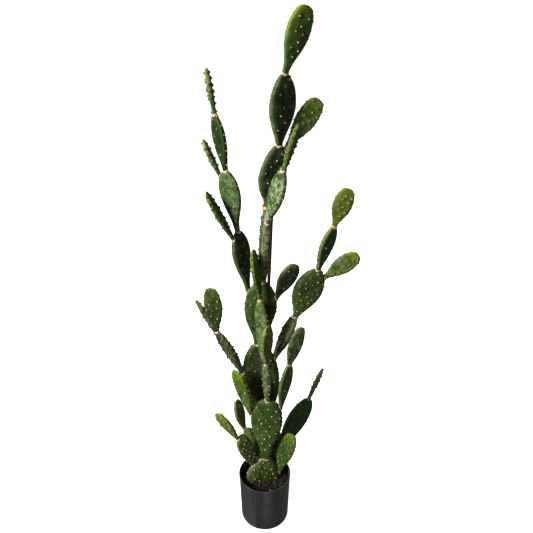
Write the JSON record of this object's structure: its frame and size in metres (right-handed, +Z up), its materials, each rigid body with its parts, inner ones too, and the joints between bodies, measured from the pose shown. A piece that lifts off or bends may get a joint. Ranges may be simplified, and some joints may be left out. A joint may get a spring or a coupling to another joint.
{
  "type": "potted paddle cactus",
  "caption": "Tall branching paddle cactus in a round plastic nursery pot, with flat oval pads growing from each other's rims, potting soil, and a thin cane tied to the crown.",
  "frame": {"origin": "centre of the pot's flat underside, on the floor", "axes": "+Z up along the trunk, front of the plant towards -Y, right arm towards +X"},
  "size_m": [0.4591, 0.1913, 1.5858],
  "materials": {
    "old_pad": "matte",
    "mature_pad": "satin",
    "young_pad": "satin",
    "pot": "satin",
    "soil": "matte",
    "cane": "matte",
    "tie": "satin"
  },
  "bodies": {
    "root": {"trunk_pad_1": "old_pad", "trunk_pad_2": "old_pad", "trunk_pad_3": "mature_pad", "trunk_pad_4": "old_pad", "trunk_pad_5": "mature_pad", "trunk_pad_6": "mature_pad", "trunk_pad_7": "young_pad", "crown_side_pad_1": "mature_pad", "crown_side_pad_2": "young_pad", "crown_back_pad": "young_pad", "left_arm_pad_1": "mature_pad", "left_arm_pad_2": "mature_pad", "left_arm_pad_3": "mature_pad", "left_arm_pad_4": "young_pad", "left_arm_bud_1": "young_pad", "left_arm_bud_2": "young_pad", "right_arm_pad_1": "old_pad", "right_arm_pad_2": "mature_pad", "right_arm_pad_3": "mature_pad", "right_arm_pad_4": "young_pad", "right_arm_side_pad": "young_pad", "shoulder_pad": "young_pad", "low_left_pad_1": "old_pad", "low_left_pad_2": "young_pad", "low_left_pad_3": "young_pad", "front_pad_1": "mature_pad", "front_pad_2": "mature_pad", "front_pad_3": "mature_pad", "front_side_pad": "young_pad", "front_pad_4": "mature_pad", "front_pad_5": "young_pad", "front_left_pad": "young_pad", "front_right_pad_1": "mature_pad", "front_right_pad_2": "mature_pad", "back_right_pad_1": "mature_pad", "back_right_pad_2": "mature_pad", "base_left_pad_1": "mature_pad", "base_left_pad_2": "young_pad", "back_left_pad_1": "mature_pad", "back_left_pad_2": "mature_pad", "base_right_pad": "young_pad", "pot": "pot", "soil": "soil", "support_cane": "cane", "cane_tie": "tie"}
  },
  "joints": []
}
